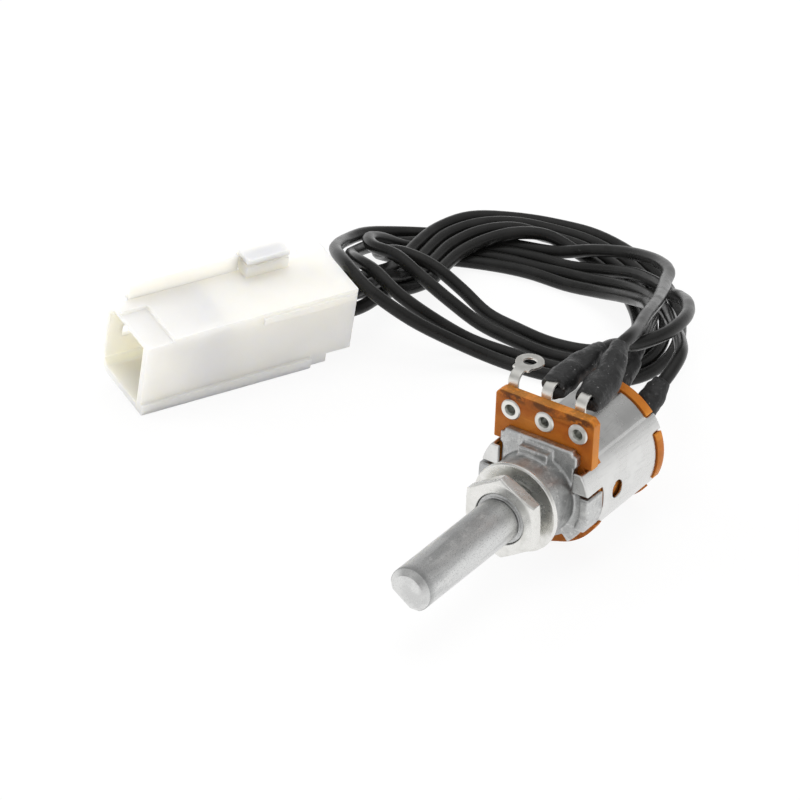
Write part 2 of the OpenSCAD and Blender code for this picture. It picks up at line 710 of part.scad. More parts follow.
module connector_housing() {
    half_w = plug_width / 2;
    half_h = plug_height / 2;
    c = contact_pitch / 2;
    core_y = plug_length - 19.5;
    color("ivory") lay_plug() difference() {
        union() {
            translate([0, plug_length - 3.6, 0]) rotate([90, 0, 0])
                linear_extrude(height = plug_length - 3.6) plug_section(0);
            plug_block(-half_w, half_w, plug_length - 3.7, plug_length, -half_h + 1.3, half_h);
            plug_block(half_w - eps, half_w + 0.5, 0, 25.8, -half_h, -half_h + 1.6);
            plug_block(-half_w + 0.3, -half_w + 1.5, 2.2, 18.8, half_h - eps, half_h + 2.4);
            plug_block(-half_w + 0.3, -half_w + 3.4, 19, 25.5, half_h - eps, half_h + 1.7);
            plug_block(-half_w + 0.3, -half_w + 3.4, 19, 25.5, half_h + 2.1, half_h + 2.9);
            plug_block(-half_w + 0.3, -half_w + 1.2, 19, 25.5, half_h, half_h + 2.9);
            plug_block(1, 2.4, 3.2, 5.2, -half_h - 0.5, -half_h + eps);
            plug_block(half_w - eps, half_w + 0.45, 17.5, plug_length - 0.4, half_h - 1.6, half_h - 0.5);
        }
        translate([0, core_y, 0]) rotate([90, 0, 0])
            linear_extrude(height = core_y + 1) plug_section(plug_wall);
        plug_block(-2, half_w + 1, -1, 4, half_h - 0.5, half_h + 1);
        for (x = [-c, c], z = [-c, c]) translate([x, plug_length + 1, z]) rotate([90, 0, 0])
            cylinder(r = bore_r, h = plug_length - contact_y - contact_length + 2);
        for (x = [-c, c], z = [-c, c])
            plug_block(x - contact_w / 2, x + contact_w / 2, 0, contact_y + contact_length,
                z - contact_w / 2, z + contact_w / 2);
        plug_block(-half_w - 1, -half_w + plug_wall + 0.2, 2.3, 4.1, -0.8, 0.9);
    }
}

// Crimp contact: an open-ended square socket with a crimped rear
module contact(sx, sz) {
    wall = 0.3;
    half = contact_w / 2;
    color("gold") lay_plug()
        translate([sx * contact_pitch / 2, contact_y - 4, sz * contact_pitch / 2]) difference() {
            translate([-half, 0, -half]) cube([contact_w, contact_length + 4 - 0.2, contact_w]);
            translate([-half + wall, -1, -half + wall])
                cube([contact_w - wall * 2, 10, contact_w - wall * 2]);
        }
}

module contact_1() { contact(-1, -1); }
module contact_2() { contact(-1, 1); }
module contact_3() { contact(1, -1); }
module contact_4() { contact(1, 1); }

shaft();
front_plate();
hex_nut();
washer();
retaining_ring();
front_wafer();
eyelet_left();
eyelet_middle();
eyelet_right();
lug_left();
lug_middle();
lug_right();
collector_ring();
rotor();
wiper();
case();
switch_housing();
switch_cam();
switch_blade();
switch_contact();
rear_disc();
rear_lug_a();
rear_lug_b();
rear_rivet_a();
rear_rivet_b();
sleeve_middle();
sleeve_right();
sleeve_rear_a();
sleeve_rear_b();
wire_1();
wire_2();
wire_3();
wire_4();
connector_housing();
contact_1();
contact_2();
contact_3();
contact_4();
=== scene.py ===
"""Looks for the wired rotary potentiometer: camera, cords, materials, light and floor."""

import json
import math

import bpy
from mathutils import Matrix, Vector, noise


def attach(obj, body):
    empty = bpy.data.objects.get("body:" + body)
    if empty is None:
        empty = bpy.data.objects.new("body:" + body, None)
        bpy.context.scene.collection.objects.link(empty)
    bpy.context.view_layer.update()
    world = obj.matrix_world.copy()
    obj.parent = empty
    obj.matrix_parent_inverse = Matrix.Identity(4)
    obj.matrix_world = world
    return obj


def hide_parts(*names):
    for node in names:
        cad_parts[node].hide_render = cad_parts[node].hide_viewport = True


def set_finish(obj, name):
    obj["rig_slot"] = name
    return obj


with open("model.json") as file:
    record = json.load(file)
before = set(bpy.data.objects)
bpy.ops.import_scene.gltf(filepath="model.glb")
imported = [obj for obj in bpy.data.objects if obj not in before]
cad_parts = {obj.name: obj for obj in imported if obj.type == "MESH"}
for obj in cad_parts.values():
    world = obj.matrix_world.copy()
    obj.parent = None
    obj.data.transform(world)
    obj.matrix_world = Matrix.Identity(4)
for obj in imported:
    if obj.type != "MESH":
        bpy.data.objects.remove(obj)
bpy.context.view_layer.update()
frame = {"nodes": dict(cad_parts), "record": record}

MM_PER_METRE = 1000

# Camera, in the direction that the photograph was taken from
AZIMUTH, ELEVATION, ROLL = math.radians(32.3), math.radians(31.3), math.radians(2.45)
DISTANCE = 0.8
LENS = 287.2
SENSOR = 36
CLIP_NEAR, CLIP_FAR = 0.05, 20
LOOK_AT = Vector((-0.01499, -0.00487, 0.02082))

# Wires: radius in metres, steps between two points of a route, and sides round a wire
WIRE_RADIUS = 0.0009
WIRE_STEPS = 5
WIRE_SIDES = 14

# Sleeves, in metres. Each starts REACH in front of its CAD solid, with a slot round the lug's
# tail that opens into a round bore over the first SLOT_SHARE of its length
SLEEVE_STEPS = 12
SLEEVE_SIDES = 28
SLEEVE_BORE = 0.00098
SLOT = 0.0003
SLOT_SHARE = 0.4
REACH = 0.0009

# Wrinkles of a sleeve: depth in metres, noise scale per millimetre. Its lug end is ragged, which
# fades over the first RAGGED_SHARE of its length
WRINKLES = [(0.00030, 0.55), (0.00010, 1.7)]
RAGGED_DEPTH = 0.0007
RAGGED_SCALE = 1.3
RAGGED_SHARE = 1 / 6

# Skins: voxel in millimetres and rounds of smoothing. Round edges: width in millimetres
SKINS = {"front_plate": (0.16, 4), "case": (0.14, 2), "lug_left": (0.08, 3),
         "lug_middle": (0.08, 3), "lug_right": (0.08, 3), "hex_nut": (0.11, 4)}
SMOOTHING = 0.5
EDGES = {"front_wafer": 0.15, "washer": 0.06, "rear_disc": 0.1,
         "connector_housing": 0.15}
EDGE_ANGLE = math.radians(32)
EDGE_SEGMENTS = 2
WELD_DISTANCE = 2e-6

# Places and sizes that the materials use, in millimetres
AXIS_HEIGHT = 8.45
THREAD_PITCH = 0.75
THREAD_RADIUS = 3.7
THREAD_BACK = -0.02
THREAD_RELIEF = 0.9
TIP_Y = -24.3
# Length of the band of painted shade behind the shaft's chamfer
TIP_SHADE = 1.3
# The case's folds, and the painted highlight along them: full within FOLD_BRIGHT, gone at FOLD_END
FOLD_X, FOLD_Z = 6.19, 13.83
FOLD_BRIGHT, FOLD_END = 0.12, 0.3
LUG_PITCH, EYELET_Z = 5, 18.01
SOLDER_FULL, SOLDER_END = 0.7, 0.84
# Where the head of the wafer is darker brown: its height, and how near the lugs
BROWN_LOW, BROWN_HIGH = AXIS_HEIGHT + 10.3, AXIS_HEIGHT + 11.7
BROWN_NEAR, BROWN_FAR = 0.6, 2.3
PLUG_WIDTH, PLUG_HEIGHT = 10.9, 11.4
# Added to a place before it is folded into a repeat, so that it stays above zero
SHIFT = 20.0
# Where the connector's inside, with its painted glow, ends and its outer skin begins, as shares of
# its half size
INSIDE_END, SKIN_START = 0.72, 0.9

# Where the connector is, in metres, and how it is turned
PLUG_AT = (-0.0625, 0.0022, 0.00675)
PLUG_TURN, PLUG_ROLL = math.radians(-25), math.radians(10)

# Values of a noise between which the roughness changes
NOISE_LOW, NOISE_HIGH = 0.3, 0.7
# Colour sockets of a mix node, which have the same names as its other sockets
MIX_UNDER, MIX_OVER, MIX_RESULT = 6, 7, 2

# Stage
FLOOR_SIZE = 6
FLOOR_GLOW = 0.9
PAPER = (0.9, 0.9, 0.9, 1)
WHITE = (1, 1, 1, 1)
ROOM_COLOUR = (1, 0.985, 0.965, 1)
ROOM_LIGHT = 0.62
# How bright the studio is in reflections, from the horizon (0) to overhead (1)
WALL = [(0, 0.97), (0.25, 0.7), (0.5, 0.36), (0.7, 0.52), (1, 0.97)]
# Lamps: place and side in metres, power in watts
LAMPS = {
    "overhead": ((-0.1, 0.15, 0.75), 0.55, 2.8),
    "left": ((-0.65, -0.25, 0.35), 0.4, 2.1),
    "right": ((0.75, 0.1, 0.2), 0.35, 1.9),
    "behind": ((-0.4, 0.65, 0.45), 0.5, 1.6),
}

# Points of the wires and of the sleeves on them, lug end first, as in the CAD source
ROUTE_1 = [
    (-0.0008, 0.0132, 0.0218), (-0.0006, 0.0164, 0.0218), (-0.0005, 0.0196, 0.0216),
    (-0.0004, 0.0226, 0.021), (0.0003, 0.026, 0.0196), (0.002, 0.0315, 0.0194),
    (0.001, 0.038, 0.0184), (-0.0025, 0.0445, 0.016), (-0.0072, 0.0508, 0.0124),
    (-0.0116, 0.0562, 0.0088), (-0.0165, 0.0607, 0.0066), (-0.022, 0.064, 0.0046),
    (-0.0275, 0.0654, 0.0026), (-0.033, 0.0654, 0.0012), (-0.039, 0.0648, 0.001),
    (-0.0455, 0.0628, 0.001), (-0.0514, 0.0602, 0.001), (-0.0548, 0.057, 0.0012),
    (-0.0568, 0.0524, 0.0022), (-0.0562, 0.0472, 0.0038), (-0.0536, 0.0424, 0.0065),
    (-0.0498, 0.038, 0.0091), (-0.0455, 0.0358, 0.0099), (-0.041, 0.035, 0.0082),
    (-0.0365, 0.037, 0.005), (-0.0325, 0.0398, 0.002), (-0.027, 0.0414, 0.001),
    (-0.0206, 0.042, 0.001), (-0.0156, 0.0442, 0.001), (-0.0124, 0.048, 0.001),
    (-0.0116, 0.052, 0.001), (-0.0129, 0.057, 0.001), (-0.0163, 0.0628, 0.001),
    (-0.0216, 0.068, 0.001), (-0.0279, 0.0717, 0.001), (-0.0347, 0.0733, 0.001),
    (-0.0406, 0.0724, 0.0012), (-0.0448, 0.0694, 0.0022), (-0.048, 0.0652, 0.0028),
    (-0.0496, 0.06, 0.003), (-0.0493, 0.055, 0.003), (-0.0484, 0.05, 0.0031),
    (-0.0481, 0.0456, 0.0033), (-0.0483, 0.0413, 0.004), (-0.0484, 0.0369, 0.0051),
    (-0.0502, 0.0329, 0.0055), (-0.0523, 0.0285, 0.0055), (-0.0545, 0.0238, 0.0055),
]

ROUTE_2 = [
    (0.004, 0.0132, 0.0221), (0.0033, 0.0162, 0.0229), (0.0024, 0.0192, 0.0235),
    (0.0021, 0.022, 0.0234), (0.0009, 0.026, 0.0222), (-0.0015, 0.032, 0.0204),
    (-0.0045, 0.0395, 0.0176), (-0.008, 0.047, 0.0144), (-0.0115, 0.054, 0.0117),
    (-0.0145, 0.06, 0.0096), (-0.019, 0.0645, 0.0075), (-0.025, 0.0675, 0.0052),
    (-0.031, 0.0682, 0.0032), (-0.0365, 0.0674, 0.0014), (-0.042, 0.0662, 0.001),
    (-0.048, 0.0642, 0.001), (-0.0528, 0.062, 0.001), (-0.0566, 0.0584, 0.0016),
    (-0.0586, 0.0536, 0.003), (-0.0584, 0.0484, 0.0044), (-0.0565, 0.0434, 0.0065),
    (-0.0535, 0.0385, 0.0089), (-0.0484, 0.0336, 0.0107), (-0.043, 0.031, 0.01),
    (-0.0375, 0.0326, 0.0068), (-0.0323, 0.036, 0.0035), (-0.0266, 0.0388, 0.0012),
    (-0.02, 0.0399, 0.001), (-0.0142, 0.0422, 0.001), (-0.0104, 0.0466, 0.001),
    (-0.0096, 0.052, 0.001), (-0.011, 0.0578, 0.001), (-0.0148, 0.064, 0.001),
    (-0.0204, 0.0696, 0.001), (-0.0272, 0.0734, 0.001), (-0.0346, 0.0752, 0.001),
    (-0.041, 0.0743, 0.001), (-0.046, 0.071, 0.0018), (-0.0498, 0.0662, 0.0028),
    (-0.0515, 0.0606, 0.003), (-0.0512, 0.055, 0.0032), (-0.0503, 0.05, 0.0034),
    (-0.0499, 0.0464, 0.0039), (-0.0493, 0.0419, 0.0055), (-0.0487, 0.0375, 0.007),
    (-0.0493, 0.0335, 0.0085), (-0.0515, 0.0288, 0.0086), (-0.054, 0.0236, 0.0086),
]

ROUTE_3 = [
    (-0.0004, 0.0257, 0.016), (-0.0012, 0.03, 0.0171), (-0.0026, 0.034, 0.0166),
    (-0.005, 0.039, 0.0146), (-0.008, 0.045, 0.012), (-0.012, 0.051, 0.0094),
    (-0.016, 0.0554, 0.0066), (-0.0206, 0.0586, 0.0042), (-0.0255, 0.0606, 0.0022),
    (-0.031, 0.0613, 0.001), (-0.037, 0.061, 0.001), (-0.0426, 0.0595, 0.001),
    (-0.0482, 0.057, 0.001), (-0.052, 0.0543, 0.001), (-0.054, 0.0508, 0.0026),
    (-0.0526, 0.048, 0.0048), (-0.0486, 0.0474, 0.0063), (-0.044, 0.0479, 0.0056),
    (-0.0395, 0.0482, 0.0034), (-0.035, 0.0478, 0.0014), (-0.03, 0.0474, 0.001),
    (-0.0245, 0.047, 0.001), (-0.0196, 0.0482, 0.001), (-0.0163, 0.051, 0.001),
    (-0.0159, 0.0548, 0.001), (-0.0186, 0.0596, 0.001), (-0.0236, 0.0645, 0.001),
    (-0.0293, 0.0678, 0.001), (-0.0346, 0.0695, 0.0012), (-0.039, 0.0688, 0.0025),
    (-0.0424, 0.0659, 0.003), (-0.0446, 0.0616, 0.003), (-0.0455, 0.057, 0.0029),
    (-0.0452, 0.0526, 0.0029), (-0.0445, 0.0484, 0.0031), (-0.0451, 0.0446, 0.0034),
    (-0.0462, 0.0411, 0.0041), (-0.0461, 0.0373, 0.0048), (-0.0465, 0.0334, 0.0049),
    (-0.0489, 0.0282, 0.0049), (-0.0516, 0.0225, 0.0049),
]

ROUTE_4 = [
    (0.0046, 0.0248, 0.0146), (0.0049, 0.028, 0.0162), (0.0041, 0.0318, 0.0168),
    (0.0016, 0.036, 0.0158), (-0.0016, 0.0404, 0.0141), (-0.0049, 0.045, 0.0121),
    (-0.0086, 0.05, 0.01), (-0.0126, 0.0546, 0.0076), (-0.0174, 0.0589, 0.0055),
    (-0.0224, 0.0618, 0.0036), (-0.0285, 0.0632, 0.0018), (-0.035, 0.0631, 0.001),
    (-0.041, 0.062, 0.001), (-0.0466, 0.0604, 0.001), (-0.0504, 0.0584, 0.001),
    (-0.0534, 0.0556, 0.0018), (-0.055, 0.0522, 0.004), (-0.0548, 0.0486, 0.0058),
    (-0.052, 0.0454, 0.007), (-0.0476, 0.0443, 0.0076), (-0.043, 0.0436, 0.0062),
    (-0.0385, 0.0438, 0.004), (-0.034, 0.0444, 0.0018), (-0.0288, 0.0446, 0.001),
    (-0.0225, 0.0444, 0.001), (-0.0174, 0.0462, 0.001), (-0.0142, 0.0492, 0.001),
    (-0.0135, 0.0526, 0.001), (-0.0146, 0.0566, 0.001), (-0.0179, 0.0616, 0.001),
    (-0.0228, 0.0664, 0.001), (-0.0286, 0.0698, 0.001), (-0.0348, 0.0713, 0.001),
    (-0.0402, 0.0704, 0.0013), (-0.0436, 0.0676, 0.0026), (-0.0464, 0.0634, 0.003),
    (-0.0476, 0.058, 0.003), (-0.0471, 0.053, 0.003), (-0.0464, 0.0488, 0.0034),
    (-0.0464, 0.0446, 0.0047), (-0.0468, 0.0409, 0.0061), (-0.0461, 0.0369, 0.0074),
    (-0.0464, 0.0323, 0.008), (-0.0487, 0.0273, 0.008), (-0.0511, 0.0223, 0.008),
]

SLEEVE_MIDDLE_ROUTE = [
    (-0.00085, 0.0094, 0.02175), (-0.0008, 0.0132, 0.0218), (-0.0006, 0.0164, 0.0218),
    (-0.0005, 0.0196, 0.0216),
]

SLEEVE_RIGHT_ROUTE = [
    (0.00415, 0.0094, 0.02175), (0.004, 0.0132, 0.0221), (0.0033, 0.0162, 0.0229),
    (0.0024, 0.0192, 0.0235),
]

SLEEVE_A_ROUTE = [
    (-0.0002, 0.0229, 0.01495), (-0.0003, 0.0254, 0.01585), (-0.0008, 0.0278, 0.0166),
    (-0.0012, 0.03, 0.0171),
]

SLEEVE_B_ROUTE = [
    (0.0045, 0.0229, 0.013), (0.0046, 0.0248, 0.0146), (0.00475, 0.0264, 0.0156),
]

# The sleeve on each wire: name and route, half widths, half heights and sags at places from 0
# to 1 along it, and the seed of its wrinkles
SLEEVES = {
    "wire_1": ("sleeve_middle", SLEEVE_MIDDLE_ROUTE,
               [(0, 0.0016), (0.35, 0.0019), (0.75, 0.0016), (1, 0.00115)],
               [(0, 0.0013), (0.35, 0.0018), (0.75, 0.0016), (1, 0.00115)],
               [(0, 0.0006), (0.5, 0.0004), (1, 0)], 3),
    "wire_2": ("sleeve_right", SLEEVE_RIGHT_ROUTE,
               [(0, 0.0018), (0.35, 0.0021), (0.75, 0.0017), (1, 0.00118)],
               [(0, 0.0014), (0.35, 0.0020), (0.75, 0.0017), (1, 0.00118)],
               [(0, 0.0007), (0.5, 0.0005), (1, 0)], 11),
    "wire_3": ("sleeve_rear_a", SLEEVE_A_ROUTE,
               [(0, 0.0015), (0.5, 0.0017), (1, 0.00115)],
               [(0, 0.0013), (0.5, 0.0015), (1, 0.00115)],
               [(0, 0), (1, 0)], 23),
    "wire_4": ("sleeve_rear_b", SLEEVE_B_ROUTE,
               [(0, 0.0015), (0.5, 0.0017), (1, 0.00115)],
               [(0, 0.0013), (0.5, 0.0015), (1, 0.00115)],
               [(0, 0), (1, 0)], 31),
}


def make_camera():
    back = Vector((math.sin(AZIMUTH) * math.cos(ELEVATION),
                   -math.cos(AZIMUTH) * math.cos(ELEVATION), math.sin(ELEVATION)))
    level = Vector((math.cos(AZIMUTH), math.sin(AZIMUTH), 0))
    raised = back.cross(level)
    right = level * math.cos(ROLL) + raised * math.sin(ROLL)
    up = back.cross(right)
    data = bpy.data.cameras.new("camera")
    data.lens, data.sensor_width = LENS, SENSOR
    data.clip_start, data.clip_end = CLIP_NEAR, CLIP_FAR
    camera = bpy.data.objects.new("camera", data)
    bpy.context.scene.collection.objects.link(camera)
    turn = Matrix((right, up, back)).transposed().to_4x4()
    camera.matrix_world = Matrix.Translation(LOOK_AT + back * DISTANCE) @ turn
    bpy.context.scene.camera = camera


def curve_point(a, b, c, d, t):
    """The point at t on the smooth stretch from b to c."""
    return 0.5 * (2 * b + (c - a) * t + (2 * a - 5 * b + 4 * c - d) * t * t
                  + (3 * b - a - 3 * c + d) * t ** 3)


def smooth_path(route, steps):
    points = [Vector(p) for p in route]
    padded = [2 * points[0] - points[1], *points, 2 * points[-1] - points[-2]]
    path = [curve_point(*padded[i:i + 4], s / steps)
            for i in range(len(points) - 1) for s in range(steps)]
    return [*path, points[-1]]


def direction(path, i):
    """Which way the path runs at its point i."""
    return (path[min(i + 1, len(path) - 1)] - path[max(i - 1, 0)]).normalized()


def mesh_piece(name, vertices, faces):
    data = bpy.data.meshes.new(name)
    data.from_pydata([tuple(v) for v in vertices], [], faces)
    data.validate()
    data.update()
    for face in data.polygons:
        face.use_smooth = True
    piece = bpy.data.objects.new(name, data)
    bpy.context.scene.collection.objects.link(piece)
    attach(piece, "body")
    return piece


def ring_corners(rings, sides):
    """Numbers of the four corners of each face between one ring of points and the next."""
    for start in range(0, (rings - 1) * sides, sides):
        for j in range(sides):
            a, b = start + j, start + (j + 1) % sides
            yield a, b, b + sides, a + sides


def make_wire(name, path):
    """A round tube along the path, its rings carried on without a twist."""
    angles = [2 * math.pi * j / WIRE_SIDES for j in range(WIRE_SIDES)]
    side = Vector((0, 0, 1)).cross(path[1] - path[0]).normalized()
    vertices = []
    for i, centre in enumerate(path):
        ahead = direction(path, i)
        side = (side - ahead * side.dot(ahead)).normalized()
        up = ahead.cross(side)
        vertices += [centre + (side * math.cos(angle) + up * math.sin(angle)) * WIRE_RADIUS
                     for angle in angles]
    first_cap = tuple(reversed(range(WIRE_SIDES)))
    last_cap = tuple(range(len(vertices) - WIRE_SIDES, len(vertices)))
    faces = [*ring_corners(len(path), WIRE_SIDES), first_cap, last_cap]
    wire = mesh_piece(name + "_cord", vertices, faces)
    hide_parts(name)
    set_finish(wire, "wire_insulation")
    return wire


def between(stops, t):
    """Value at t of a line through (place, value) stops, eased at each stop."""
    for (t0, v0), (t1, v1) in zip(stops, stops[1:]):
        if t <= t1:
            s = (t - t0) / (t1 - t0)
            s = s * s * (3 - 2 * s)
            return v0 + (v1 - v0) * s
    return stops[-1][1]


def wrinkle(place, seed):
    """How far the sleeve's skin stands out at a place, in metres."""
    at = place * MM_PER_METRE + Vector((seed, 0, 0))
    return sum(noise.noise(at * scale) * depth for depth, scale in WRINKLES)


def ragged(angle, t, seed):
    """How far a place near the sleeve's lug end is moved along it, in metres."""
    at = Vector((math.cos(angle), math.sin(angle), seed)) * RAGGED_SCALE
    return noise.noise(at) * RAGGED_DEPTH * max(0, 1 - t / RAGGED_SHARE)


def bored_tube_faces(rings, sides, bore):
    """Faces of a tube with a bore. The outer points come first; the bore's start at number bore."""
    faces = []
    for a, b, c, d in ring_corners(rings, sides):
        faces.append((a, d, c, b))
        faces.append((bore + a, bore + b, bore + c, bore + d))
    end = (rings - 1) * sides
    for j in range(sides):
        k = (j + 1) % sides
        faces.append((j, k, bore + k, bore + j))
        faces.append((end + k, end + j, bore + end + j, bore + end + k))
    return faces


def make_sleeve(name, route, widths, heights, drops, seed):
    """A shrunk tube over a soldered joint: wide and sagging over the lug, wrinkled, with an
    end that is squashed to a slot round the lug's tail."""
    first, second = Vector(route[0]), Vector(route[1])
    path = smooth_path([first + (first - second).normalized() * REACH, *route], SLEEVE_STEPS)
    bores = [(0, SLOT), (SLOT_SHARE, SLEEVE_BORE), (1, SLEEVE_BORE)]
    outer, inner = [], []
    for i, centre in enumerate(path):
        ahead = direction(path, i)
        side = ahead.cross(Vector((0, 0, 1))).normalized()
        up = side.cross(ahead)
        t = i / (len(path) - 1)
        half_width, half_height = between(widths, t), between(heights, t)
        bore_height = between(bores, t)
        sagged = centre - up * between(drops, t)
        for j in range(SLEEVE_SIDES):
            angle = 2 * math.pi * j / SLEEVE_SIDES
            across, above = side * math.cos(angle), up * math.sin(angle)
            spoke = across * half_width + above * half_height
            slack = ahead * ragged(angle, t, seed)
            lump = spoke.normalized() * wrinkle(sagged + spoke, seed)
            outer.append(sagged + spoke + lump + slack)
            inner.append(centre + across * SLEEVE_BORE + above * bore_height + slack)
    faces = bored_tube_faces(len(path), SLEEVE_SIDES, len(outer))
    piece = mesh_piece(name + "_shrunk", outer + inner, faces)
    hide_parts(name)
    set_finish(piece, "shrink_sleeve")
    return piece


def soften(name, voxel, rounds):
    """Melts the sharp edges of a cast or stamped node into soft ones."""
    node = frame["nodes"][name]
    skin = node.modifiers.new("skin", "REMESH")
    skin.mode, skin.voxel_size, skin.use_smooth_shade = "VOXEL", voxel / MM_PER_METRE, True
    soft = node.modifiers.new("soft_edges", "SMOOTH")
    soft.factor, soft.iterations = SMOOTHING, rounds


def round_edges(name, width):
    """Gives a turned, punched or moulded node the small round edges that it has."""
    node = frame["nodes"][name]
    node.modifiers.new("joined", "WELD").merge_threshold = WELD_DISTANCE
    edge = node.modifiers.new("round_edges", "BEVEL")
    edge.width, edge.segments = width / MM_PER_METRE, EDGE_SEGMENTS
    edge.limit_method, edge.angle_limit = "ANGLE", EDGE_ANGLE
    edge.use_clamp_overlap = False
    edge.harden_normals = True


class Look:
    """A procedural material round one Principled shader, in millimetres of the shared frame."""

    def __init__(self, name, colour, roughness, metallic=0.0):
        self.material = bpy.data.materials.new(name)
        self.material.use_nodes = True
        self.tree = self.material.node_tree
        self.shader = self.tree.nodes["Principled BSDF"]
        self.shader.inputs["Base Color"].default_value = (*colour, 1)
        self.shader.inputs["Roughness"].default_value = roughness
        self.shader.inputs["Metallic"].default_value = metallic
        self.place = self.tree.nodes.new("ShaderNodeTexCoord").outputs["Object"]
        self.here = self.scaled((1, 1, 1))

    def scaled(self, stretch):
        """Places in millimetres, stretched by a factor on each axis."""
        node = self.tree.nodes.new("ShaderNodeMapping")
        node.inputs["Scale"].default_value = [s * MM_PER_METRE for s in stretch]
        self.tree.links.new(self.place, node.inputs["Vector"])
        return node.outputs["Vector"]

    def seen_from(self, at, rotation):
        """Places in millimetres of a frame that is turned and lies elsewhere."""
        node = self.tree.nodes.new("ShaderNodeMapping")
        node.vector_type = "TEXTURE"
        node.inputs["Location"].default_value = at
        node.inputs["Rotation"].default_value = rotation
        node.inputs["Scale"].default_value = [1 / MM_PER_METRE] * 3
        self.tree.links.new(self.place, node.inputs["Vector"])
        return node.outputs["Vector"]

    def set(self, **values):
        for name, value in values.items():
            self.shader.inputs[name.replace("_", " ")].default_value = value
        return self

    def noise(self, scale, detail=3, rough=0.55, at=None):
        node = self.tree.nodes.new("ShaderNodeTexNoise")
        node.inputs["Scale"].default_value = scale
        node.inputs["Detail"].default_value = detail
        node.inputs["Roughness"].default_value = rough
        self.tree.links.new(at or self.here, node.inputs["Vector"])
        return node.outputs["Fac"]

    def span(self, value, low, high, to_low=0.0, to_high=1.0):
        """Goes smoothly from to_low to to_high while the value goes from low to high."""
        node = self.tree.nodes.new("ShaderNodeMapRange")
        node.interpolation_type = "SMOOTHSTEP"
        ends = {"From Min": low, "From Max": high, "To Min": to_low, "To Max": to_high}
        for name, number in ends.items():
            node.inputs[name].default_value = number
        self.tree.links.new(value, node.inputs["Value"])
        return node.outputs["Result"]

    def maths(self, operation, *values):
        node = self.tree.nodes.new("ShaderNodeMath")
        node.operation = operation
        for socket, value in zip(node.inputs, values):
            if isinstance(value, (int, float)):
                socket.default_value = value
            else:
                self.tree.links.new(value, socket)
        return node.outputs["Value"]

    def axis(self, name, at=None):
        node = self.tree.nodes.new("ShaderNodeSeparateXYZ")
        self.tree.links.new(at or self.here, node.inputs["Vector"])
        return node.outputs[name]

    def radius(self, a, b):
        """How far away a place is that lies a to the side and b above."""
        squares = self.maths("ADD", self.maths("POWER", a, 2.0), self.maths("POWER", b, 2.0))
        return self.maths("POWER", squares, 0.5)

    def folded(self, place, pitch):
        """How far the place is from the nearest of many that repeat at that pitch."""
        return self.maths("PINGPONG", self.maths("ADD", place, SHIFT), pitch / 2)

    def edges(self):
        """Above a half on edges that stand out, and below it in corners."""
        return self.tree.nodes.new("ShaderNodeNewGeometry").outputs["Pointiness"]

    def tint(self, factor, colour):
        """Blends colour over what the shader has now, by factor."""
        node = self.tree.nodes.new("ShaderNodeMix")
        node.data_type = "RGBA"
        base = self.shader.inputs["Base Color"]
        if base.is_linked:
            self.tree.links.new(base.links[0].from_socket, node.inputs[MIX_UNDER])
        else:
            node.inputs[MIX_UNDER].default_value = base.default_value[:]
        node.inputs[MIX_OVER].default_value = (*colour, 1)
        self.tree.links.new(factor, node.inputs["Factor"])
        self.tree.links.new(node.outputs[MIX_RESULT], base)
        return self

    def peaks(self, pattern, low, high, share, colour):
        """Blends colour over where the pattern is high: none of it at low, the share at high."""
        return self.tint(self.span(pattern, low, high, 0, share), colour)

    def dips(self, pattern, low, high, share, colour):
        """Blends colour over where the pattern is low: the share at low, none of it at high."""
        return self.tint(self.span(pattern, low, high, share, 0), colour)

    def gloss(self, factor, low, high):
        """Lets the roughness go from low to high with the factor."""
        rough = self.span(factor, NOISE_LOW, NOISE_HIGH, low, high)
        self.tree.links.new(rough, self.shader.inputs["Roughness"])
        return self

    def relief(self, height, depth):
        """Adds a bump of that depth in millimetres."""
        node = self.tree.nodes.new("ShaderNodeBump")
        node.inputs["Distance"].default_value = depth / MM_PER_METRE
        self.tree.links.new(height, node.inputs["Height"])
        normal = self.shader.inputs["Normal"]
        if normal.is_linked:
            self.tree.links.new(normal.links[0].from_socket, node.inputs["Normal"])
        self.tree.links.new(node.outputs["Normal"], normal)
        return self


def turned_steel():
    look = Look("turned_steel", (0.70, 0.705, 0.70), 0.34, 1.0)
    blotch = look.noise(0.9, 4, 0.65)
    streak = look.noise(0.42, 3, 0.5, look.scaled((1, 0.12, 1)))
    rings = look.noise(1.0, 2, 0.5, look.scaled((0.4, 9, 0.4)))
    grain = look.noise(7, 3, 0.7)
    along = look.axis("Y")
    chamfer = look.maths("LESS_THAN", along, TIP_Y)
    behind_chamfer = look.maths("GREATER_THAN", along, TIP_Y)
    # Painted shade: a dark band just behind the chamfer, fading away from it
    tip_shade = look.span(along, TIP_Y, TIP_Y + TIP_SHADE, 0.6, 0)
    look.peaks(streak, 0.46, 0.6, 0.75, (0.44, 0.445, 0.445))
    look.peaks(blotch, 0.5, 0.7, 0.5, (0.82, 0.82, 0.81))
    look.peaks(grain, 0.56, 0.7, 0.5, (0.9, 0.9, 0.89))
    look.dips(grain, 0.34, 0.46, 0.75, (0.28, 0.28, 0.28))
    look.tint(look.maths("MULTIPLY", behind_chamfer, tip_shade), (0.3, 0.305, 0.305))
    # Painted highlight: the chamfer and end face of the tip are made lighter
    look.tint(look.maths("MULTIPLY", chamfer, 0.4), (0.78, 0.78, 0.77))
    look.gloss(blotch, 0.28, 0.42)
    look.relief(rings, 0.016).relief(grain, 0.022)
    return look


def bushing_thread(look):
    """Height of the thread, which is on the bushing alone."""
    radius = look.radius(look.axis("X"), look.maths("SUBTRACT", look.axis("Z"), AXIS_HEIGHT))
    ahead = look.maths("LESS_THAN", look.axis("Y"), THREAD_BACK)
    threaded = look.maths("MULTIPLY", ahead, look.maths("LESS_THAN", radius, THREAD_RADIUS))
    return look.maths("MULTIPLY", threaded, look.folded(look.axis("Y"), THREAD_PITCH))


